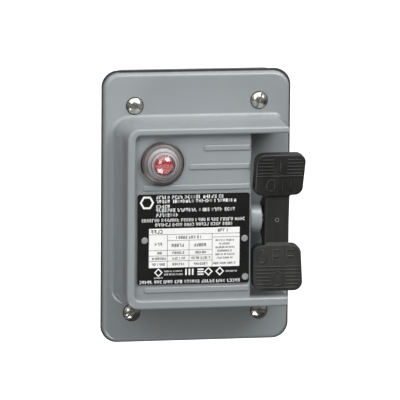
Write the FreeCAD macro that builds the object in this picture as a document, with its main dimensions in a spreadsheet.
"""Manual motor starting switch in a watertight box: rocker handle, pilot light, three-pole switch inside.

Frame: origin at the centre of the back mounting face, +X right, +Y into the wall, +Z up.
"Forward" is the distance out from the wall, so a point that is forward by f lies at y = -f.
"""
import FreeCAD, Part
import math
import os
import Sketcher
from FreeCAD import Placement, Rotation, Vector

SIZES = {
    # back box
    "box_depth": 58.0, "box_wide": 89.0, "box_tall": 146.0, "box_corner": 7.0, "box_wall": 4.0,
    "box_back_round": 2.0, "box_inner_corner": 4.0,
    "flange_wide": 107.0, "flange_tall": 166.4, "flange_corner": 10.0, "flange_thick": 8.4,
    "hub_radius": 17.0, "hub_bore": 12.3, "hub_end": 77.0, "hub_start": 61.0, "hub_forward": 30.0, "hub_round": 1.0,
    "foot_across": 38.0, "foot_up": 58.0, "foot_radius": 6.5, "foot_rise": 12.0, "foot_hole": 2.6,
    "foot_depth": 9.0, "boss_radius": 7.0, "boss_back": 28.0, "tap_radius": 2.45, "tap_depth": 22.0,
    # grounding screw and its boss
    "ground_across": 33.0, "ground_up": -44.0, "ground_boss": 5.5, "ground_rise": 8.0, "ground_bite": 5.5,
    "ground_shank": 2.0, "ground_head": 4.4, "ground_head_rise": 2.8,
    # cover plate and gasket, which lies a little off centre
    "gasket_thick": 1.6, "gasket_proud": 0.9, "gasket_across": 0.5, "gasket_up": 0.2,
    "seal_wide": 90.0, "seal_tall": 114.0, "seal_corner": 4.0,
    "plate_wide": 115.0, "plate_tall": 165.4, "plate_corner": 10.0, "plate_thick": 5.0, "plate_edge": 2.5,
    # hood on the cover, at its foot
    "hood_left": -51.1, "hood_right": 51.0, "hood_low": -57.4, "hood_high": 55.5, "hood_corner": 9.5,
    "hood_right_corner": 3.2, "hood_depth": 38.0, "hood_draft": 2.4, "hood_foot": 2.5, "hood_edge": 1.4,
    "recess_left": -44.6, "recess_low": -50.2, "recess_high": 49.8, "recess_corner": 3.5, "recess_depth": 5.0,
    "bay_left": 27.0, "bay_edge": 1.0,
    "cavity_left": -46.0, "cavity_right": 24.0, "cavity_low": -52.5, "cavity_high": 51.0, "panel_thick": 3.5,
    "cavity_corner": 5.0,
    # ribs and label seat on the panel
    "rib_wide": 3.6, "rib_rise": 0.9, "rib_root": 0.6, "rib_round": 0.85, "rib_end": 26.2,
    "label_left": -42.6, "label_right": 26.0, "label_low": -41.3, "label_high": 13.7, "label_corner": 1.5,
    "label_thick": 0.5, "seat_rise": 0.5, "seat_margin": 0.3,
    "rivet_left": -38.3, "rivet_right": 23.0, "rivet_up": -14.2, "rivet_hole": 1.15, "rivet_head": 2.0,
    "rivet_rise": 0.6, "rivet_round": 0.5, "rivet_depth": 3.0,
    # screws
    "screw_head": 4.95, "screw_rise": 2.5, "screw_shank": 2.4, "screw_long": 20.0, "screw_pass": 2.8,
    "screw_seat": 5.5, "screw_seat_depth": 1.0, "washer_outer": 5.3, "washer_thick": 0.6,
    # pilot light
    "pilot_across": -27.85, "pilot_up": 32.4, "pilot_neck": 7.9, "pilot_flange": 13.3, "pilot_gasket": 9.8,
    "pilot_gasket_thick": 1.0, "pilot_hollow": 7.0, "pilot_rise": 10.8, "pilot_wall": 1.1,
    "pilot_dome": 8.6, "pilot_sleeve": 9.5,
    "jewel_radius": 6.7, "jewel_wall": 1.0, "jewel_rise": 9.6, "lamp_radius": 3.0, "lamp_long": 15.0,
    "lead_radius": 0.9, "lead_spread": 3.5,
    "holder_radius": 9.5, "holder_long": 16.0, "holder_seat": 8.0, "pilot_nut_flats": 22.0, "pilot_nut_thick": 3.5,
    # shaft, bushing and handle
    "shaft_up": -3.5, "shaft_forward": 84.6, "shaft_radius": 4.0, "shaft_start": 2.0, "shaft_end": 49.6,
    "running_gap": 0.05, "rest_tilt": 4.5,
    "collar_radius": 9.45, "collar_start": 27.6, "collar_end": 35.2, "collar_round": 1.2, "collar_washer": 8.7,
    "sleeve_radius": 6.0, "sleeve_start": 14.0, "oring_outer": 5.6, "oring_start": 33.1, "oring_end": 35.1,
    "nut_flats": 17.0, "nut_start": 20.5,
    "clip_start": 12.6, "clip_end": 13.6, "clip_radius": 6.4, "clip_groove": 3.3,
    "grip_centre": 44.0, "grip_half": 15.4, "grip_neck_half": 14.9, "grip_inner": 15.5, "grip_outer": 42.4,
    "grip_corner": 5.5, "grip_face_outer": 18.0, "grip_face_inner": 11.0, "grip_thick": 7.5, "grip_round": 1.1,
    "arm_half": 7.5, "arm_front": 9.5, "arm_back": 8.0, "arm_corner": 1.0,
    "roll_pin": 1.35, "roll_pin_hollow": 0.75,
    # fork and toggle
    "pivot_forward": 51.6, "fork_start": 3.0, "fork_end": 10.0, "fork_hub": 7.5, "fork_reach": 28.4,
    "fork_half": 6.5, "fork_slot": 3.5, "fork_slot_start": 22.8, "set_screw": 1.5, "socket_flats": 1.5,
    "socket_deep": 1.4, "leaf_thick": 0.5, "leaf_wide": 3.4,
    "toggle_swing": 20.0, "toggle_reach": 6.07, "toggle_roller": 3.0, "toggle_hub": 3.4, "pivot_pin": 1.5,
    "drive_reach": 7.0, "drive_pin": 1.25,
    # switch block, centred between its three poles
    "switch_centre": -9.0, "pole_pitch": 14.0, "slab_half": 29.0, "slab_low": -40.0, "slab_high": 33.0,
    "slab_front": 18.0, "slab_corner": 2.0, "slab_round": 1.0, "barrier_thick": 2.0, "fence_rise": 8.0,
    "fence_margin": 1.4, "base_gap": 0.4, "mount_across": 26.0, "mount_low": -33.0, "mount_high": 26.0,
    "mount_shank": 1.8, "mount_head": 3.0, "mount_head_rise": 2.2, "mount_bite": 3.0,
    "cover_foot_out": 26.0, "cover_foot_half": 3.6, "cover_foot_tall": 5.0, "cover_foot_thick": 3.0,
    "cover_shank": 1.5, "cover_head": 3.0, "cover_head_rise": 2.0, "cover_bite": 7.0,
    "barrier_front": 36.0, "shroud_half": 23.0, "shroud_low": -24.0,
    "shroud_high": 17.0, "shroud_front": 44.0, "shroud_wall": 2.0, "ear_front": 56.0, "ear_thick": 2.7,
    "strap_half": 4.5, "strap_thick": 1.5, "strap_inner": 9.0, "strap_outer": 32.5, "contact_out": 11.5,
    "contact_radius": 2.0, "contact_rise": 1.5, "terminal_out": 26.5, "terminal_head": 3.6, "terminal_rise": 2.6,
    "terminal_shank": 1.9, "terminal_bite": 8.0, "strap_gap": 0.3, "carrier_travel": 4.788, "contact_gap": 0.1,
    "bridge_half": 3.0, "bridge_thick": 1.2, "bridge_button": 1.3, "bar_half": 6.0, "bar_thick": 5.0,
    "bar_back": 32.0, "post_radius": 1.2, "post_head": 2.2, "spring_radius": 1.9, "spring_wire": 0.3,
    "spring_pitch": 1.1,
}

SCREW_PLACES = [
    # across, up, slot angle in degrees
    ("cover_screw_top_left", -38.5, 62.8, 26.0),
    ("cover_screw_top_right", 38.4, 65.0, -68.0),
    ("cover_screw_bottom_left", -39.7, -64.3, -36.0),
    ("cover_screw_bottom_right", 39.6, -64.9, 14.0),
]
RIBS = [
    # up, left end
    (41.2, -2.3), (29.9, -11.5), (17.5, -39.4), (-44.7, -38.4),
]


class Size(float):
    """A number that also knows the spreadsheet expression it comes from."""

    def __new__(cls, number, text):
        size = float.__new__(cls, number)
        size.text = text
        return size

    def __add__(self, other):
        return Size(float(self) + float(other), "(%s + %s)" % (words(self), words(other)))

    def __radd__(self, other):
        return Size(float(other) + float(self), "(%s + %s)" % (words(other), words(self)))

    def __sub__(self, other):
        return Size(float(self) - float(other), "(%s - %s)" % (words(self), words(other)))

    def __rsub__(self, other):
        return Size(float(other) - float(self), "(%s - %s)" % (words(other), words(self)))

    def __mul__(self, other):
        return Size(float(self) * float(other), "(%s * %s)" % (words(self), words(other)))

    def __truediv__(self, other):
        return Size(float(self) / float(other), "(%s / %s)" % (words(self), words(other)))

    def __neg__(self):
        return Size(-float(self), "(0 - %s)" % words(self))

    __rmul__ = __mul__


class Sheet:
    """Hands out the sheet's sizes by alias."""

    def __getattr__(self, alias):
        return Size(SIZES[alias], "sizes." + alias)


def words(value):
    return value.text if isinstance(value, Size) else repr(float(value))


def bind(thing, name, value):
    """Set a property, and tie it to the sheet where the value comes from there."""
    thing.setExpression(name, words(value))


doc = FreeCAD.newDocument("starting_switch")
sheet = doc.addObject("Spreadsheet::Sheet", "sizes")
for row, (alias, number) in enumerate(SIZES.items(), 1):
    sheet.set("A%d" % row, alias)
    sheet.set("B%d" % row, str(number))
    sheet.setAlias("B%d" % row, alias)
doc.recompute()
s = Sheet()
nodes = []

# ---------------------------------------------------------------- drawing helpers


def new_body(label, across=0.0, forward=0.0, up=0.0, rotation=None, node=True):
    """A body whose own origin lies at the given place."""
    body = doc.addObject("PartDesign::Body", label)
    body.Label = label
    body.Placement = Placement(Vector(across, -float(forward), up), rotation or Rotation())
    bind(body, "Placement.Base.x", across)
    bind(body, "Placement.Base.y", -forward)
    bind(body, "Placement.Base.z", up)
    if node:
        nodes.append(body)
    return body


def rectangle(left, right, low, high, corner=0.0):
    return [(left, low, corner), (right, low, corner), (right, high, corner), (left, high, corner)]


def hexagon(flats, first_angle):
    """Corners of a hexagon with the given width across flats."""
    corners = []
    for turn in range(6):
        angle = math.radians(first_angle + 60 * turn)
        reach = flats / math.sqrt(3)
        corners.append((reach * math.cos(angle), reach * math.sin(angle), 0.0))
    return corners


def circle(across, up, radius):
    return ("circle", across, up, radius)


def fix_point(sketch, index, across, up):
    """Tie a point of the sketch to its distances from the sketch's origin."""
    for kind, value in (("DistanceX", across), ("DistanceY", up)):
        made = sketch.addConstraint(Sketcher.Constraint(kind, -1, 1, index, 1, float(value)))
        if isinstance(value, Size):
            bind(sketch, "Constraints[%d]" % made, value)


def draw_circle(sketch, across, up, radius):
    centre = Vector(across, up, 0)
    index = sketch.addGeometry(Part.Circle(centre, Vector(0, 0, 1), float(radius)), False)
    for kind, value in (("DistanceX", across), ("DistanceY", up)):
        made = sketch.addConstraint(Sketcher.Constraint(kind, -1, 1, index, 3, float(value)))
        if isinstance(value, Size):
            bind(sketch, "Constraints[%d]" % made, value)
    made = sketch.addConstraint(Sketcher.Constraint("Radius", index, float(radius)))
    bind(sketch, "Constraints[%d]" % made, radius)


def corner_arc(before, corner, after, radius):
    """Start, end and centre of the arc that rounds a corner."""
    back = (before - corner).normalize()
    ahead = (after - corner).normalize()
    half = back.getAngle(ahead) / 2
    reach = radius / math.tan(half)
    centre = corner + (back + ahead).normalize() * (radius / math.sin(half))
    return corner + back * reach, corner + ahead * reach, centre


def draw_outline(sketch, corners):
    """A closed outline of straight lines, each corner (x, y, radius) rounded where its radius isn't zero."""
    count = len(corners)
    points = [Vector(x, y, 0) for x, y, _ in corners]
    cuts = []
    for i, (_, _, radius) in enumerate(corners):
        if radius:
            cuts.append(corner_arc(points[i - 1], points[i], points[(i + 1) % count], float(radius)))
        else:
            cuts.append((points[i], points[i], None))
    lines = []
    for i in range(count):
        lines.append(sketch.addGeometry(Part.LineSegment(cuts[i][1], cuts[(i + 1) % count][0]), False))
    for i, (x, y, radius) in enumerate(corners):
        marker = sketch.addGeometry(Part.Point(points[i]), True)
        fix_point(sketch, marker, x, y)
        before, after = lines[i - 1], lines[i]
        if not radius:
            sketch.addConstraint(Sketcher.Constraint("Coincident", before, 2, marker, 1))
            sketch.addConstraint(Sketcher.Constraint("Coincident", after, 1, marker, 1))
            continue
        start, end, centre = cuts[i]
        first = math.atan2(start.y - centre.y, start.x - centre.x)
        last = math.atan2(end.y - centre.y, end.x - centre.x)
        left_turn = (last - first) % (2 * math.pi) < math.pi
        whole = Part.Circle(centre, Vector(0, 0, 1), float(radius))
        arc_shape = Part.ArcOfCircle(whole, first, last) if left_turn else Part.ArcOfCircle(whole, last, first)
        arc = sketch.addGeometry(arc_shape, False)
        arc_start, arc_end = (1, 2) if left_turn else (2, 1)
        sketch.addConstraint(Sketcher.Constraint("PointOnObject", marker, 1, before))
        sketch.addConstraint(Sketcher.Constraint("PointOnObject", marker, 1, after))
        sketch.addConstraint(Sketcher.Constraint("Tangent", before, 2, arc, arc_start))
        sketch.addConstraint(Sketcher.Constraint("Tangent", arc, arc_end, after, 1))
        made = sketch.addConstraint(Sketcher.Constraint("Radius", arc, float(radius)))
        if isinstance(radius, Size):
            bind(sketch, "Constraints[%d]" % made, radius)


def draw(body, plane, offset, *loops):
    """A sketch on one of the body's own planes, moved along that plane's normal by offset."""
    sketch = body.newObject("Sketcher::SketchObject", body.Label + "_sketch")
    origin_plane = [item for item in body.Origin.OriginFeatures if item.Role == plane][0]
    sketch.AttachmentSupport = [(origin_plane, "")]
    sketch.MapMode = "FlatFace"
    bind(sketch, "AttachmentOffset.Base.z", offset)
    for loop in loops:
        if loop[0] == "circle":
            draw_circle(sketch, *loop[1:])
        else:
            draw_outline(sketch, loop)
    sketch.Visibility = False
    return sketch


def add_feature(body, kind, sketch, **settings):
    feature = body.newObject("PartDesign::" + kind, body.Label + "_" + kind.lower())
    feature.Profile = sketch
    for name, value in settings.items():
        if isinstance(value, Size):
            bind(feature, name, value)
        else:
            setattr(feature, name, value)
    body.Tip = feature
    return feature


def pad(body, plane, offset, length, *loops, **settings):
    """Solid grown from the sketch along the plane's normal: forward from XZ, right from YZ, up from XY."""
    return add_feature(body, "Pad", draw(body, plane, offset, *loops), Length=length, **settings)


def pocket(body, plane, offset, length, *loops, **settings):
    """Solid cut away from the sketch against the plane's normal: backward from XZ, left from YZ, down from XY."""
    return add_feature(body, "Pocket", draw(body, plane, offset, *loops), Length=length, **settings)


def turn(body, axis, profile, kind="Revolution"):
    """Turned solid: corners are (radius, forward, rounding), or (across, radius, rounding) about the X axis."""
    if axis == "forward":
        loop = [(radius, -forward, rounding) for radius, forward, rounding in profile]
        sketch = draw(body, "XY_Plane", 0.0, loop)
        return add_feature(body, kind, sketch, ReferenceAxis=(sketch, ["V_Axis"]), Angle=360.0)
    sketch = draw(body, "XY_Plane", 0.0, profile)
    return add_feature(body, kind, sketch, ReferenceAxis=(sketch, ["H_Axis"]), Angle=360.0)


def ring(label, axis, inner, outer, start, end, rounding=0.0, **place):
    """Washer, sleeve or ring between two radii and two places along its axis."""
    body = new_body(label, **place)
    if axis == "forward":
        turn(body, axis, rectangle(inner, outer, start, end, rounding))
    else:
        turn(body, axis, rectangle(start, end, inner, outer, rounding))
    return body


def round_edges(body, radius, wanted):
    """Fillet the edges of the body's last feature for which wanted(edge) is true."""
    doc.recompute()
    base = body.Tip
    names = ["Edge%d" % (i + 1) for i, edge in enumerate(base.Shape.Edges) if wanted(edge)]
    if not names:
        raise SystemExit("%s: no edge to round" % body.Label)
    feature = body.newObject("PartDesign::Fillet", body.Label + "_fillet")
    feature.Base = (base, names)
    bind(feature, "Radius", radius)
    body.Tip = feature
    doc.recompute()
    if "Invalid" in feature.State or "Error" in feature.State or not feature.Shape.isValid():
        raise SystemExit("%s: the fillet of %d edges failed" % (body.Label, len(names)))
    return feature


def near(value, target, slack=0.02):
    return abs(value - float(target)) < slack


def lies_at_forward(edge, forward, slack=0.02):
    """True where the whole edge is the given distance from the wall."""
    box = edge.BoundBox
    return near(-box.YMin, forward, slack) and near(-box.YMax, forward, slack)


def group(label, members):
    """One node of several separate solids."""
    compound = doc.addObject("Part::Compound", label)
    compound.Label = label
    compound.Links = members
    nodes.append(compound)
    return compound


def slotted_screw(label, across, forward, up, head, rise, shank, length, slot_angle):
    """Slotted screw whose head rests at the given place; its own origin is under the head."""
    rotation = Rotation(Vector(0, 1, 0), slot_angle)
    body = new_body(label, across, forward, up, rotation, node=False)
    rim = rise * 0.36
    crown = head * 0.58
    turn(body, "forward", [
        (0.0, -length, 0.0), (shank, -length, 0.0), (shank, 0.0, 0.0), (head, 0.0, 0.0),
        (head, rim, rim * 0.5), (crown, rise, head * 0.8), (0.0, rise, 0.0),
    ])
    slot_half = head * 0.13
    slot_deep = rise * 0.56
    past_head = head + 1
    pocket(body, "XZ_Plane", rise, slot_deep, rectangle(-past_head, past_head, -slot_half, slot_half))
    return body


# ---------------------------------------------------------------- shared places

plate_back = s.box_depth + s.gasket_thick
plate_front = plate_back + s.plate_thick
hood_front = plate_front + s.hood_depth
panel_front = hood_front - s.recess_depth
panel_back = panel_front - s.panel_thick
label_back = panel_front + s.seat_rise
label_front = label_back + s.label_thick
past = 5.0
thread_gap = 0.05


def box_of(wide, tall, corner):
    return rectangle(wide / -2, wide / 2, tall / -2, tall / 2, corner)


# ---------------------------------------------------------------- enclosure


def make_back_box():
    body = new_body("back_box")
    pad(body, "XZ_Plane", 0.0, s.box_depth - s.flange_thick, box_of(s.box_wide, s.box_tall, s.box_corner))
    round_edges(body, s.box_back_round, lambda edge: lies_at_forward(edge, 0.0))
    pad(body, "XZ_Plane", s.box_depth - s.flange_thick, s.flange_thick,
        box_of(s.flange_wide, s.flange_tall, s.flange_corner))
    inner_wide = s.box_wide - s.box_wall * 2
    inner_tall = s.box_tall - s.box_wall * 2
    pocket(body, "XZ_Plane", s.box_depth, s.box_depth - s.box_wall,
           box_of(inner_wide, inner_tall, s.box_inner_corner))
    corners = [circle(x, z, s.boss_radius) for _, x, z, _ in SCREW_PLACES]
    pad(body, "XZ_Plane", s.boss_back, s.box_depth - s.boss_back, *corners)
    feet = [circle(x, z, s.foot_radius) for x in (-s.foot_across, s.foot_across) for z in (-s.foot_up, s.foot_up)]
    pad(body, "XZ_Plane", s.box_wall / 2, s.foot_rise - s.box_wall / 2, *feet)
    hub_hole = circle(0.0, -s.hub_forward, s.hub_radius + 0.02)
    pocket(body, "XY_Plane", s.box_tall + past, s.box_tall * 2 + past * 2, hub_hole)
    taps = [circle(x, z, s.tap_radius) for _, x, z, _ in SCREW_PLACES]
    pocket(body, "XZ_Plane", s.box_depth, s.tap_depth, *taps)
    holes = [circle(x, z, s.foot_hole) for x in (-s.foot_across, s.foot_across) for z in (-s.foot_up, s.foot_up)]
    pocket(body, "XZ_Plane", s.foot_depth, s.foot_depth + past, *holes)
    base_holes = [circle(x, z, s.mount_shank + thread_gap) for x, z in switch_corners()]
    pocket(body, "XZ_Plane", s.box_wall, s.mount_bite + 0.2, *base_holes)
    pad(body, "XZ_Plane", s.box_wall / 2, s.ground_rise - s.box_wall / 2,
        circle(s.ground_across, s.ground_up, s.ground_boss))
    pocket(body, "XZ_Plane", s.ground_rise, s.ground_bite + 0.2,
           circle(s.ground_across, s.ground_up, s.ground_shank + thread_gap))


def make_conduit_hubs():
    """Threaded hubs set into the top and bottom walls of the box."""
    for label, start, end in (("conduit_hub_top", s.hub_start, s.hub_end),
                              ("conduit_hub_bottom", -s.hub_end, -s.hub_start)):
        hub = new_body(label, forward=s.hub_forward)
        pad(hub, "XY_Plane", start, end - start, circle(0.0, 0.0, s.hub_radius), circle(0.0, 0.0, s.hub_bore))
        round_edges(hub, s.hub_round, hub_rim)


def hub_rim(edge):
    """The outer edges at both ends of a hub."""
    box = edge.BoundBox
    return box.ZLength < 0.01 and box.XLength > s.hub_radius * 1.9


def switch_corners():
    """Where the screws that hold the switch base stand."""
    return [(s.switch_centre + side * s.mount_across, z) for side in (-1, 1) for z in (s.mount_low, s.mount_high)]


def make_box_gasket():
    body = new_body("box_gasket", across=s.gasket_across, up=s.gasket_up)
    outer = box_of(s.plate_wide + s.gasket_proud * 2, s.plate_tall + s.gasket_proud * 2, s.plate_corner)
    inner = box_of(s.seal_wide, s.seal_tall, s.seal_corner)
    holes = [circle(x - s.gasket_across, z - s.gasket_up, s.screw_pass) for _, x, z, _ in SCREW_PLACES]
    pad(body, "XZ_Plane", s.box_depth, s.gasket_thick, outer, inner, *holes)


def make_front_cover():
    body = new_body("front_cover")
    pad(body, "XZ_Plane", plate_back, s.plate_thick, box_of(s.plate_wide, s.plate_tall, s.plate_corner))
    round_edges(body, s.plate_edge, lambda edge: lies_at_forward(edge, plate_front))
    outline = rectangle(s.hood_left, s.hood_right, s.hood_low, s.hood_high, s.hood_corner)
    outline[1] = outline[1][:2] + (s.hood_right_corner,)
    outline[2] = outline[2][:2] + (s.hood_right_corner,)
    pad(body, "XZ_Plane", plate_front, s.hood_depth, outline, TaperAngle=-s.hood_draft)
    round_edges(body, s.hood_foot, hood_foot)
    far_right = s.hood_right + past
    front = hood_front + past
    pocket(body, "XZ_Plane", front, s.hood_depth + past,
           rectangle(s.bay_left, far_right, s.recess_low, s.recess_high))
    recess = rectangle(s.recess_left, far_right, s.recess_low, s.recess_high, s.recess_corner)
    pocket(body, "XZ_Plane", front, s.recess_depth + past, recess)
    round_edges(body, s.bay_edge, bay_corner)
    round_edges(body, s.hood_edge, hood_rim)
    pocket(body, "XZ_Plane", panel_back, panel_back - plate_back + past,
           rectangle(s.cavity_left, s.cavity_right, s.cavity_low, s.cavity_high, s.cavity_corner))
    for up, left in RIBS:
        half = s.rib_wide / 2
        rib = rectangle(left, s.rib_end, up - half, up + half)
        for corner in (0, 3):
            rib[corner] = rib[corner][:2] + (half * 0.96,)
        pad(body, "XZ_Plane", panel_front - s.rib_root, s.rib_rise + s.rib_root, rib)
        round_edges(body, s.rib_round, lambda edge: lies_at_forward(edge, panel_front + s.rib_rise)
                    and abs(edge.BoundBox.Center.z - float(up)) < s.rib_wide)
    seat = rectangle(s.label_left - s.seat_margin, s.label_right - s.seat_margin,
                     s.label_low - s.seat_margin, s.label_high + s.seat_margin, s.label_corner)
    pad(body, "XZ_Plane", panel_front, s.seat_rise, seat)
    rivets = [circle(x, s.rivet_up, s.rivet_hole) for x in (s.rivet_left, s.rivet_right)]
    pocket(body, "XZ_Plane", label_back, s.rivet_depth, *rivets)
    pocket(body, "XZ_Plane", label_back, s.panel_thick + past,
           circle(s.pilot_across, s.pilot_up, s.pilot_neck + thread_gap))
    seats = [circle(x, z, s.screw_seat) for _, x, z, _ in SCREW_PLACES]
    pocket(body, "XZ_Plane", plate_front + s.hood_foot + 1, s.hood_foot + 1 + s.screw_seat_depth, *seats)
    holes = [circle(x, z, s.screw_pass) for _, x, z, _ in SCREW_PLACES]
    pocket(body, "XZ_Plane", plate_front, s.plate_thick + past, *holes)
    pocket(body, "YZ_Plane", s.bay_left + past, past * 3,
           circle(-s.shaft_forward, s.shaft_up, s.sleeve_radius + thread_gap))


def bay_corner(edge):
    """The panel's right edge, where it turns into the bay."""
    box = edge.BoundBox
    return near(box.XMin, s.bay_left) and near(box.XMax, s.bay_left) and lies_at_forward(edge, panel_front)


def hood_rim(edge):
    """The edges of the hood's front rim."""
    return lies_at_forward(edge, hood_front)


def hood_foot(edge):
    """The edges where the hood's outside meets the plate."""
    box = edge.BoundBox
    inside = box.XMin > s.hood_left - 1 and box.XMax < s.hood_right + 1
    inside = inside and box.ZMin > s.hood_low - 1 and box.ZMax < s.hood_high + 1
    return inside and lies_at_forward(edge, plate_front)


def make_cover_screws():
    screws = []
    washers = []
    washer_seat = plate_front - s.screw_seat_depth
    head_seat = washer_seat + s.washer_thick
    for label, x, z, angle in SCREW_PLACES:
        screws.append(slotted_screw(label, x, head_seat, z, s.screw_head, s.screw_rise, s.screw_shank,
                                    s.screw_long + s.washer_thick, angle))
        washers.append(ring(label + "_washer", "forward", s.screw_pass, s.washer_outer, 0.0, s.washer_thick, 0.0,
                            across=x, forward=washer_seat, up=z, node=False))
    group("cover_screws", screws)
    group("cover_screw_washers", washers)


def make_nameplate():
    body = new_body("nameplate")
    outline = rectangle(s.label_left, s.label_right, s.label_low, s.label_high, s.label_corner)
    holes = [circle(x, s.rivet_up, s.rivet_hole) for x in (s.rivet_left, s.rivet_right)]
    pad(body, "XZ_Plane", label_back, s.label_thick, outline, *holes)
    rivets = []
    for label, x in (("rivet_left_side", s.rivet_left), ("rivet_right_side", s.rivet_right)):
        rivet = new_body(label, x, label_front, s.rivet_up, node=False)
        turn(rivet, "forward", [
            (0.0, -s.rivet_depth, 0.0), (s.rivet_hole - 0.05, -s.rivet_depth, 0.0), (s.rivet_hole - 0.05, 0.0, 0.0),
            (s.rivet_head, 0.0, 0.0), (s.rivet_head, s.rivet_rise, s.rivet_round), (0.0, s.rivet_rise, 0.0),
        ])
        rivets.append(rivet)
    group("nameplate_rivets", rivets)


# ---------------------------------------------------------------- pilot light


def make_pilot_light():
    place = dict(across=s.pilot_across, forward=panel_front, up=s.pilot_up)
    ring("pilot_gasket", "forward", s.pilot_neck + 0.3, s.pilot_gasket, 0.0, s.pilot_gasket_thick, 0.0, **place)
    base = s.pilot_gasket_thick
    lens = new_body("pilot_lens", **place)
    turn(lens, "forward", [
        (s.pilot_hollow, -s.pilot_sleeve, 0.0), (s.pilot_neck, -s.pilot_sleeve, 0.0), (s.pilot_neck, base, 0.0),
        (s.pilot_flange, base, 0.0), (s.pilot_flange, base + 1.8, 0.7), (s.pilot_flange - 1.7, base + 1.8, 0.3),
        (s.pilot_flange - 2.1, base + 3.2, 0.5), (s.pilot_flange - 3.4, base + 3.2, 0.3),
        (s.pilot_dome, base + 4.4, 0.8), (s.pilot_dome, s.pilot_rise + base, s.pilot_dome - 1.2),
        (0.0, s.pilot_rise + base, 0.0), (0.0, s.pilot_rise + base - s.pilot_wall, 0.0),
        (s.pilot_hollow, s.pilot_rise + base - s.pilot_wall, s.pilot_hollow - 1.2),
    ])
    jewel = new_body("pilot_jewel", **place)
    inner = s.jewel_radius - s.jewel_wall
    turn(jewel, "forward", [
        (inner, -1.0, 0.0), (s.jewel_radius, -1.0, 0.0), (s.jewel_radius, s.jewel_rise, s.jewel_radius - 1.0),
        (0.0, s.jewel_rise, 0.0), (0.0, s.jewel_rise - s.jewel_wall, 0.0),
        (inner, s.jewel_rise - s.jewel_wall, inner - 1.0),
    ])
    holder_front = -s.pilot_sleeve
    lamp = new_body("pilot_lamp", **place)
    lamp_end = holder_front - s.holder_seat + 0.5
    turn(lamp, "forward", [
        (0.0, lamp_end, 0.0), (s.lamp_radius, lamp_end, 0.5), (s.lamp_radius, lamp_end + s.lamp_long, 2.0),
        (0.0, lamp_end + s.lamp_long, 0.0),
    ])
    holder = new_body("pilot_lamp_holder", **place)
    seat_end = holder_front - s.holder_seat
    turn(holder, "forward", [
        (0.0, holder_front - s.holder_long, 0.0), (s.holder_radius, holder_front - s.holder_long, 1.0),
        (s.holder_radius, holder_front, 0.5), (s.lamp_radius + 0.1, holder_front, 0.0),
        (s.lamp_radius + 0.1, seat_end, 0.0), (0.0, seat_end, 0.0),
    ])
    nut = new_body("pilot_locknut", **place)
    pad(nut, "XZ_Plane", -s.panel_thick - s.pilot_nut_thick, s.pilot_nut_thick,
        hexagon(s.pilot_nut_flats, 0.0), circle(0.0, 0.0, s.pilot_neck + thread_gap))


def tube_path(points, radius_share=0.45):
    """Straight runs joined by tangent arcs, each as large as its two runs allow."""
    corners = [Vector(x, -forward, up) for x, forward, up in points]
    edges = []
    start = corners[0]
    for i in range(1, len(corners) - 1):
        back = corners[i - 1] - corners[i]
        ahead = corners[i + 1] - corners[i]
        reach = radius_share * min(back.Length, ahead.Length)
        turn_start = corners[i] + back.normalize() * reach
        turn_end = corners[i] + ahead.normalize() * reach
        half = back.getAngle(ahead) / 2
        middle_way = (back + ahead).normalize()
        radius = reach * math.tan(half)
        middle = corners[i] + middle_way * (radius / math.sin(half) - radius)
        edges.append(Part.LineSegment(start, turn_start).toShape())
        edges.append(Part.Arc(turn_start, middle, turn_end).toShape())
        start = turn_end
    edges.append(Part.LineSegment(start, corners[-1]).toShape())
    return Part.Wire(edges)


def make_pilot_leads():
    """Two insulated leads from the lamp holder's back to the first two line terminals."""
    holder_back = float(panel_front - s.pilot_sleeve - s.holder_long)
    lamp_up = float(s.pilot_up)
    screw_top = float(s.slab_front + s.strap_thick + s.terminal_rise)
    terminal_up = float(s.shaft_up + s.terminal_out)
    leads = []
    for side, pole in ((-1, -1), (1, 0)):
        start = float(s.pilot_across + side * s.lead_spread)
        end = float(s.switch_centre + pole * s.pole_pitch)
        route = [
            (start, holder_back, lamp_up), (start, holder_back - 13, lamp_up),
            (start + (end - start) * 0.4, holder_back - 25, lamp_up - 1), (end, screw_top + 13, terminal_up),
            (end, screw_top, terminal_up),
        ]
        wire = tube_path(route)
        section = Part.Wire(Part.makeCircle(float(s.lead_radius), wire.Vertexes[0].Point, Vector(0, -1, 0)))
        leads.append(wire.makePipeShell([section], True, False))
    feature = doc.addObject("Part::Feature", "pilot_leads")
    feature.Label = "pilot_leads"
    feature.Shape = Part.makeCompound(leads)
    feature.Placement = Placement(Vector(0, 0, 0), Rotation())
    nodes.append(feature)


# ---------------------------------------------------------------- shaft bushing


def make_bushing():
    place = dict(forward=s.shaft_forward, up=s.shaft_up)
    body = new_body("shaft_bushing", **place)
    pad(body, "YZ_Plane", s.collar_start, s.collar_end - s.collar_start, circle(0.0, 0.0, s.collar_radius))
    round_edges(body, s.collar_round, lambda edge: edge.BoundBox.XLength < 0.01)
    pad(body, "YZ_Plane", s.sleeve_start, s.collar_start - s.sleeve_start, circle(0.0, 0.0, s.sleeve_radius))
    bore = circle(0.0, 0.0, s.shaft_radius + s.running_gap)
    pocket(body, "YZ_Plane", s.collar_end + 1, s.collar_end - s.sleeve_start + 2, bore)
    pocket(body, "YZ_Plane", s.collar_end, s.collar_end - s.oring_start, circle(0.0, 0.0, s.oring_outer))
    ring("shaft_seal", "across", s.shaft_radius + s.running_gap, s.oring_outer, s.oring_start, s.oring_end,
         0.5, **place)
    ring("bushing_gasket", "across", s.sleeve_radius + thread_gap, s.collar_washer, s.bay_left, s.collar_start,
         0.0, **place)
    nut = new_body("bushing_locknut", **place)
    pad(nut, "YZ_Plane", s.nut_start, s.cavity_right - s.nut_start, hexagon(s.nut_flats, 30.0),
        circle(0.0, 0.0, s.sleeve_radius + thread_gap))


# ---------------------------------------------------------------- handle and what turns with it


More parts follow.
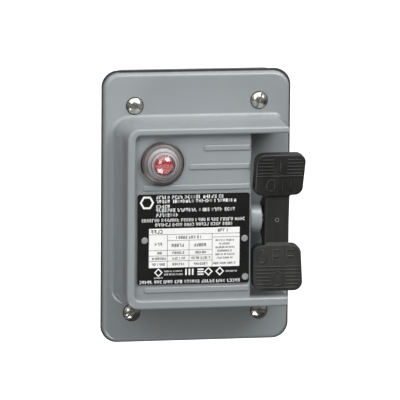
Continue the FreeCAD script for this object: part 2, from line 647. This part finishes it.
def tilted_body(label, node=True):
    """A body whose own X axis is the shaft, tilted to the rest position."""
    return new_body(label, 0.0, s.shaft_forward, s.shaft_up, Rotation(Vector(1, 0, 0), float(s.rest_tilt)), node)


def grip_outline():
    """Front view of the rocker: two pads joined by the arm."""
    c = s.grip_centre
    upper = [
        (c + s.arm_half, s.grip_inner, s.arm_corner), (c + s.grip_neck_half, s.grip_inner, s.grip_corner - 0.6),
        (c + s.grip_half, s.grip_outer, s.grip_corner), (c - s.grip_half, s.grip_outer, s.grip_corner),
        (c - s.grip_neck_half, s.grip_inner, s.grip_corner - 0.6), (c - s.arm_half, s.grip_inner, s.arm_corner),
    ]
    lower = [(x, -z, r) for x, z, r in reversed(upper)]
    return upper + lower


def make_handle():
    body = tilted_body("handle_rocker")
    pad(body, "XZ_Plane", -s.arm_back, s.grip_face_outer + s.arm_back, grip_outline())
    slope = (s.grip_face_outer - s.grip_face_inner) / (s.grip_outer - s.grip_inner)
    reach = 2.0
    face_end = s.grip_face_outer + slope * reach
    back_end = face_end - s.grip_thick
    back_inner = s.grip_face_inner - s.grip_thick
    tip = s.grip_outer + reach
    step_in = s.grip_inner - 1.4
    left = s.grip_centre - s.grip_half - 1
    wide = s.grip_half * 2 + 2
    front_cut = [
        (-face_end, tip, 0.0), (-s.grip_face_inner, s.grip_inner, 0.6), (-s.arm_front, step_in, 0.6),
        (-s.arm_front, -step_in, 0.6), (-s.grip_face_inner, -s.grip_inner, 0.6), (-face_end, -tip, 0.0),
        (-face_end - past, -tip, 0.0), (-face_end - past, tip, 0.0),
    ]
    pocket(body, "YZ_Plane", left, wide, front_cut, Reversed=True)
    for side in (1, -1):
        back_cut = [
            (-back_end, tip * side, 0.0), (-back_inner, (s.grip_inner + 1) * side, 2.0),
            (s.arm_back + 1, s.shaft_radius * 1.5 * side, 0.0), (s.arm_back + 1, tip * side, 0.0),
        ]
        pocket(body, "YZ_Plane", left, wide, back_cut, Reversed=True)
    round_edges(body, s.grip_round, grip_edge)
    bore_start = s.grip_centre - s.arm_half - 1
    pocket(body, "YZ_Plane", bore_start, s.shaft_end - bore_start + 0.2, circle(0.0, 0.0, s.shaft_radius),
           Reversed=True)
    pocket(body, "XZ_Plane", s.grip_face_outer + 1, s.grip_face_outer + s.arm_back + 2,
           circle(s.grip_centre, 0.0, s.roll_pin))


def grip_edge(edge):
    """The rim of each pad's pressed face and its back: every edge that isn't along the pad's thickness."""
    mid = edge.valueAt((edge.FirstParameter + edge.LastParameter) / 2)
    first, last = edge.Vertexes[0].Point, edge.Vertexes[-1].Point
    along_thickness = abs(first.y - last.y) > 3 and abs(first.z - last.z) < 1.5
    return abs(mid.z) > s.grip_inner + 0.3 and not along_thickness


def make_shaft_group():
    shaft = tilted_body("operating_shaft")
    start, end, radius = s.shaft_start, s.shaft_end, s.shaft_radius
    turn(shaft, "across", [
        (start, 0.0, 0.0), (start, radius, 0.5), (s.clip_start - 0.05, radius, 0.0),
        (s.clip_start - 0.05, s.clip_groove, 0.0), (s.clip_end + 0.05, s.clip_groove, 0.0),
        (s.clip_end + 0.05, radius, 0.0), (end, radius, 0.5), (end, 0.0, 0.0),
    ])
    pocket(shaft, "XZ_Plane", radius + 1, radius * 2 + 2, circle(s.grip_centre, 0.0, s.roll_pin))
    pin = tilted_body("handle_pin")
    pin_front = s.arm_front - 0.2
    pad(pin, "XZ_Plane", -s.arm_back + 0.3, pin_front + s.arm_back - 0.3, circle(s.grip_centre, 0.0, s.roll_pin),
        circle(s.grip_centre, 0.0, s.roll_pin_hollow))
    clip = tilted_body("shaft_retaining_ring")
    turn(clip, "across", rectangle(s.clip_start, s.clip_end, s.clip_groove + 0.05, s.clip_radius))
    pocket(clip, "YZ_Plane", s.clip_end + 1, 3.0, rectangle(-s.clip_radius - 1, 0.0, -2.2, 2.2))
    fork = tilted_body("operating_fork")
    outline = [
        (0.0, -s.fork_hub, 0.0), (s.fork_slot_start - 3, -s.fork_half, 3.0), (s.fork_reach, -s.fork_half, 1.2),
        (s.fork_reach, -s.fork_slot, 0.8), (s.fork_slot_start, -s.fork_slot, 1.5),
        (s.fork_slot_start, s.fork_slot, 1.5), (s.fork_reach, s.fork_slot, 0.8), (s.fork_reach, s.fork_half, 1.2),
        (s.fork_slot_start - 3, s.fork_half, 3.0), (0.0, s.fork_hub, 0.0),
    ]
    thick = s.fork_end - s.fork_start
    pad(fork, "YZ_Plane", s.fork_start, thick, outline)
    pad(fork, "YZ_Plane", s.fork_start, thick, circle(0.0, 0.0, s.fork_hub))
    pocket(fork, "YZ_Plane", s.fork_end + 1, thick + 2, circle(0.0, 0.0, radius + 0.02))
    middle = (s.fork_start + s.fork_end) / 2
    pocket(fork, "XZ_Plane", s.fork_hub + 1, s.fork_hub + 1, circle(middle, 0.0, s.set_screw))
    screw = tilted_body("fork_set_screw")
    pad(screw, "XZ_Plane", radius + 0.05, s.fork_hub - radius - 0.3, circle(middle, 0.0, s.set_screw - 0.03))
    socket = [(x + middle, z, rounding) for x, z, rounding in hexagon(s.socket_flats, 0.0)]
    pocket(screw, "XZ_Plane", s.fork_hub - 0.25, s.socket_deep, socket)


# ---------------------------------------------------------------- toggle


def make_toggle():
    rotation = Rotation(Vector(1, 0, 0), -float(s.toggle_swing))
    body = new_body("toggle_lever", 0.0, s.pivot_forward, s.shaft_up, rotation)
    arm_left, arm_right = s.fork_start + 0.5, s.fork_end - 0.5
    hub_left, hub_right = s.switch_centre - 2.9, s.fork_end + 0.4
    pad(body, "YZ_Plane", hub_left, hub_right - hub_left, circle(0.0, 0.0, s.toggle_hub))
    arm = [
        (0.0, -2.6, 0.0), (0.0, 2.6, 0.0), (-s.toggle_reach, 1.5, 0.0), (-s.toggle_reach, -1.5, 0.0),
    ]
    pad(body, "YZ_Plane", arm_left, arm_right - arm_left, arm)
    pad(body, "YZ_Plane", arm_left, arm_right - arm_left, circle(-s.toggle_reach, 0.0, s.toggle_roller))
    drive_left, drive_right = s.switch_centre + 2.5, s.switch_centre + 5.5
    drive = [(-2.2, 0.0, 0.0), (-2.0, -s.drive_reach - 1.6, 1.2), (2.0, -s.drive_reach - 1.6, 1.2), (2.2, 0.0, 0.0)]
    pad(body, "YZ_Plane", drive_left, drive_right - drive_left, drive)
    pad(body, "YZ_Plane", hub_left + 0.2, drive_left - hub_left + 0.3, circle(0.0, -s.drive_reach, s.drive_pin))
    pocket(body, "YZ_Plane", hub_right + 1, hub_right - hub_left + 2, circle(0.0, 0.0, s.pivot_pin + s.running_gap))
    pin = new_body("toggle_pivot_pin", 0.0, s.pivot_forward, s.shaft_up)
    ends = ear_places()
    pad(pin, "YZ_Plane", ends[0][0], ends[1][1] - ends[0][0], circle(0.0, 0.0, s.pivot_pin))
    spring = new_body("toggle_spring")
    leaf_left = s.fork_start - 4
    loop = [(-forward, up, 0.0) for forward, up in leaf_outline(s.shroud_front)]
    pad(spring, "YZ_Plane", leaf_left, s.leaf_wide, loop)


def leaf_outline(foot):
    """Side view of the bent leaf spring: a flat foot, a rise to the hub and a turned-down tip."""
    thick = s.leaf_thick
    line = [(foot, 15.0), (foot, 8.0), (foot + 3.2, 0.5), (foot + 3.2, -5.5), (foot + 1.6, -8.0)]
    back = [(forward + thick, up + shift) for (forward, up), shift in zip(line, (0.0, 0.25, 0.2, -0.2, -0.25))]
    return line + back[::-1]


def ear_places():
    """Left and right limits of the two ears that hold the toggle's pin."""
    left = s.switch_centre - s.ear_thick - 3.6
    right = s.fork_end + 1.0
    return (left, left + s.ear_thick), (right, right + s.ear_thick)


# ---------------------------------------------------------------- switch block


def pole_centres():
    return [s.switch_centre + s.pole_pitch * pole for pole in (-1, 0, 1)]


def foot_centres():
    """Middle of each foot of the switch cover."""
    return [s.switch_centre + side * s.cover_foot_out for side in (-1, 1)]


def make_switch_base():
    body = new_body("switch_base")
    left, right = s.switch_centre - s.slab_half, s.switch_centre + s.slab_half
    pad(body, "XZ_Plane", s.box_wall, s.slab_front - s.box_wall,
        rectangle(left, right, s.slab_low, s.slab_high, s.slab_corner))
    round_edges(body, s.slab_round, lambda edge: lies_at_forward(edge, s.slab_front))
    half = s.barrier_thick / 2
    walls = [s.switch_centre + s.pole_pitch * place for place in (-0.5, 0.5)]
    inner_low = s.shroud_low + s.shroud_wall + s.base_gap
    inner_high = s.shroud_high - s.shroud_wall - s.base_gap
    inner = [rectangle(x - half, x + half, inner_low, inner_high) for x in walls]
    pad(body, "XZ_Plane", s.slab_front - 1, s.barrier_front - s.slab_front + 1, *inner)
    fences = []
    for x in walls:
        fences.append(rectangle(x - half, x + half, s.shroud_high + s.base_gap, s.slab_high - s.fence_margin))
        fences.append(rectangle(x - half, x + half, s.slab_low + s.fence_margin, s.shroud_low - s.base_gap))
    pad(body, "XZ_Plane", s.slab_front - 1, s.fence_rise + 1, *fences)
    notch_low, notch_high = s.shaft_up - s.bar_half - 0.3, s.shaft_up + s.bar_half + 0.3
    notch_back = s.bar_back - s.carrier_travel - 0.6
    notch = rectangle(left, right, notch_low, notch_high)
    pocket(body, "XZ_Plane", s.barrier_front + 1, s.barrier_front + 1 - notch_back, notch)
    mounts = [circle(x, z, s.mount_shank + 0.15) for x, z in switch_corners()]
    pocket(body, "XZ_Plane", s.slab_front + 1, s.slab_front - s.box_wall + 2, *mounts)
    taps = [circle(x, s.shaft_up + side * s.terminal_out, s.terminal_shank + thread_gap)
            for x in pole_centres() for side in (-1, 1)]
    pocket(body, "XZ_Plane", s.slab_front, s.terminal_bite, *taps)
    feet = [circle(x, s.shaft_up, s.cover_shank + thread_gap) for x in foot_centres()]
    pocket(body, "XZ_Plane", s.slab_front, s.cover_bite, *feet)


def make_switch_cover():
    body = new_body("switch_cover")
    left, right = s.switch_centre - s.shroud_half, s.switch_centre + s.shroud_half
    wall = s.shroud_wall
    pad(body, "XZ_Plane", s.slab_front, s.shroud_front - s.slab_front,
        rectangle(left, right, s.shroud_low, s.shroud_high, 1.5))
    foot_low, foot_high = s.shaft_up - s.cover_foot_tall, s.shaft_up + s.cover_foot_tall
    feet = [rectangle(x - s.cover_foot_half, x + s.cover_foot_half, foot_low, foot_high, 1.0)
            for x in foot_centres()]
    pad(body, "XZ_Plane", s.slab_front, s.cover_foot_thick, *feet)
    pocket(body, "XZ_Plane", s.shroud_front - wall, s.shroud_front - wall - s.slab_front + 1,
           rectangle(left + wall, right - wall, s.shroud_low + wall, s.shroud_high - wall, 1.0))
    low, high = s.shaft_up - 5.0, s.shaft_up + 5.0
    for ear_left, ear_right in ear_places():
        pad(body, "XZ_Plane", s.shroud_front - wall / 2, s.ear_front - s.shroud_front + wall / 2,
            rectangle(ear_left, ear_right, low, high))
    slot = ear_slot()
    pocket(body, "XZ_Plane", s.shroud_front + 1, wall + 2, slot)
    ends = ear_places()
    pocket(body, "YZ_Plane", ends[1][1] + 1, ends[1][1] - ends[0][0] + 2,
           circle(-s.pivot_forward, s.shaft_up, s.pivot_pin))
    holes = [circle(x, s.shaft_up, s.cover_shank + 0.2) for x in foot_centres()]
    pocket(body, "XZ_Plane", s.slab_front + s.cover_foot_thick + 1, s.cover_foot_thick + 2, *holes)
    strap_side = s.strap_half + s.strap_gap
    mouths = [rectangle(x - strap_side, x + strap_side, s.shroud_low - 1, s.shroud_high + 1)
              for x in pole_centres()]
    pocket(body, "XZ_Plane", s.slab_front + s.strap_thick + s.strap_gap, s.strap_thick + s.strap_gap + 1, *mouths)


def ear_slot():
    """Slot in the switch cover's front that the carrier's drive fork passes through."""
    left, right = drive_fork_sides()
    return rectangle(left - 0.6, right + 0.6, s.shaft_up - 13.2, s.shaft_up - 3.6)


def drive_fork_sides():
    return s.switch_centre - 2.0, s.switch_centre + 1.0


def make_switch_screws():
    seat = s.slab_front + s.cover_foot_thick
    length = s.cover_foot_thick + s.cover_bite - 0.3
    covers = []
    for i, x in enumerate(foot_centres()):
        covers.append(slotted_screw("switch_cover_screw_%d" % i, x, seat, s.shaft_up, s.cover_head,
                                    s.cover_head_rise, s.cover_shank, length, 20.0 + 50 * i))
    group("switch_cover_screws", covers)
    length = s.slab_front - s.box_wall + s.mount_bite
    mounts = []
    for i, (x, z) in enumerate(switch_corners()):
        mounts.append(slotted_screw("switch_mounting_screw_%d" % i, x, s.slab_front, z, s.mount_head,
                                    s.mount_head_rise, s.mount_shank, length, 35.0 * i))
    group("switch_mounting_screws", mounts)
    seat = s.slab_front + s.strap_thick
    length = s.strap_thick + s.terminal_bite - 0.4
    clamps = []
    for i, x in enumerate(pole_centres()):
        for side in (-1, 1):
            clamps.append(slotted_screw("terminal_screw_%d_%d" % (i, side + 1), x, seat,
                                        s.shaft_up + side * s.terminal_out, s.terminal_head, s.terminal_rise,
                                        s.terminal_shank, length, 25.0 * i + 40 * side))
    group("terminal_screws", clamps)
    ground = slotted_screw("ground_screw_body", s.ground_across, s.ground_rise, s.ground_up, s.ground_head,
                           s.ground_head_rise, s.ground_shank, s.ground_bite, 15.0)
    group("ground_screw", [ground])


def make_terminals():
    for label, side in (("line_terminals", 1), ("load_terminals", -1)):
        straps = []
        for i, x in enumerate(pole_centres()):
            strap = new_body("%s_%d" % (label, i), x, s.slab_front, s.shaft_up, node=False)
            near_end, far_end = sorted((s.strap_inner * side, s.strap_outer * side), key=float)
            outline = rectangle(-s.strap_half, s.strap_half, near_end, far_end, 0.8)
            screw_hole = circle(0.0, s.terminal_out * side, s.terminal_shank + 0.1)
            pad(strap, "XZ_Plane", 0.0, s.strap_thick, outline, screw_hole)
            pad(strap, "XZ_Plane", s.strap_thick - 0.1, s.contact_rise + 0.1,
                circle(0.0, s.contact_out * side, s.contact_radius))
            straps.append(strap)
        group(label, straps)


def fixed_contact_face():
    return s.slab_front + s.strap_thick + s.contact_rise


def bridge_back():
    """Back face of the moving bridges at rest, with their contact buttons reaching further back."""
    return fixed_contact_face() + s.contact_gap + s.carrier_travel + s.bridge_button


def make_carrier():
    body = new_body("contact_carrier")
    end = s.pole_pitch + s.bridge_half + 1.5
    left, right = s.switch_centre - end, s.switch_centre + end
    low, high = s.shaft_up - s.bar_half, s.shaft_up + s.bar_half
    pad(body, "XZ_Plane", s.bar_back, s.bar_thick, rectangle(left, right, low, high, 0.8))
    posts = [circle(x, s.shaft_up, s.post_radius) for x in pole_centres()]
    pad(body, "XZ_Plane", bridge_back() - 0.2, s.bar_back - bridge_back() + 0.7, *posts)
    heads = [circle(x, s.shaft_up, s.post_head) for x in pole_centres()]
    pad(body, "XZ_Plane", bridge_back() - 0.9, 0.8, *heads)
    fork_left, fork_right = drive_fork_sides()
    swing = math.radians(float(s.toggle_swing))
    pin_forward = s.pivot_forward + s.drive_reach * math.sin(swing)
    slot_half = s.drive_pin + 0.25
    prong = 1.9
    top = s.shaft_up - s.toggle_hub - 1.0
    floor = s.shaft_up - s.drive_reach - s.drive_pin - 0.6
    foot = s.shaft_up - 12.6
    front = s.bar_back + s.bar_thick
    side_view = [
        (front - 1, foot), (pin_forward + slot_half + prong, foot), (pin_forward + slot_half + prong, top),
        (pin_forward + slot_half, top), (pin_forward + slot_half, floor), (pin_forward - slot_half, floor),
        (pin_forward - slot_half, top), (front - 1, top),
    ]
    loop = [(-forward, up, 0.0) for forward, up in side_view]
    pad(body, "YZ_Plane", fork_left, fork_right - fork_left, loop)


def make_moving_contacts():
    bridges = []
    springs = []
    for i, x in enumerate(pole_centres()):
        bridge = new_body("moving_contact_%d" % i, x, bridge_back(), s.shaft_up, node=False)
        reach = s.contact_out + s.contact_radius + 1
        pad(bridge, "XZ_Plane", 0.0, s.bridge_thick, rectangle(-s.bridge_half, s.bridge_half, -reach, reach, 1.0),
            circle(0.0, 0.0, s.post_radius + 0.05))
        buttons = [circle(0.0, side * s.contact_out, s.contact_radius) for side in (-1, 1)]
        pad(bridge, "XZ_Plane", -s.bridge_button, s.bridge_button + 0.1, *buttons)
        bridges.append(bridge)
        springs.append(coil_spring(float(x)))
    group("moving_contacts", bridges)
    feature = doc.addObject("Part::Feature", "contact_springs")
    feature.Label = "contact_springs"
    feature.Shape = Part.makeCompound(springs)
    feature.Placement = Placement(Vector(0, 0, 0), Rotation())
    nodes.append(feature)


def coil_spring(across):
    """One compression spring round a carrier post, between the bridge and the crossbar."""
    wire_radius = float(s.spring_wire)
    start = float(bridge_back() + s.bridge_thick) + wire_radius + 0.02
    height = float(s.bar_back) - start - wire_radius - 0.02
    helix = Part.makeHelix(float(s.spring_pitch), height, float(s.spring_radius))
    section = Part.Wire(Part.makeCircle(wire_radius, Vector(s.spring_radius, 0, 0), Vector(0, 1, 0)))
    coil = Part.Wire(helix).makePipeShell([section], True, True)
    coil.Placement = Placement(Vector(across, -start, s.shaft_up), Rotation(Vector(1, 0, 0), 90))
    return coil


# ---------------------------------------------------------------- make, check and write

make_back_box()
make_conduit_hubs()
make_box_gasket()
make_front_cover()
make_cover_screws()
make_nameplate()
make_pilot_light()
make_pilot_leads()
make_bushing()
make_handle()
make_shaft_group()
make_toggle()
make_switch_base()
make_switch_cover()
make_switch_screws()
make_terminals()
make_carrier()
make_moving_contacts()
doc.recompute()

faults = [thing.Label for thing in doc.Objects if "Invalid" in thing.State or "Error" in thing.State]
faults += [node.Label for node in nodes if node.Shape.isNull() or not node.Shape.isValid()]
if faults:
    raise SystemExit("failed: " + ", ".join(faults))

os.makedirs("parts", exist_ok=True)
for node in nodes:
    node.Shape.exportStep("parts/%s.step" % node.Label)
    print(node.Label, len(node.Shape.Solids), "solids", round(node.Shape.Volume, 1), "mm3")
print(len(nodes), "nodes")
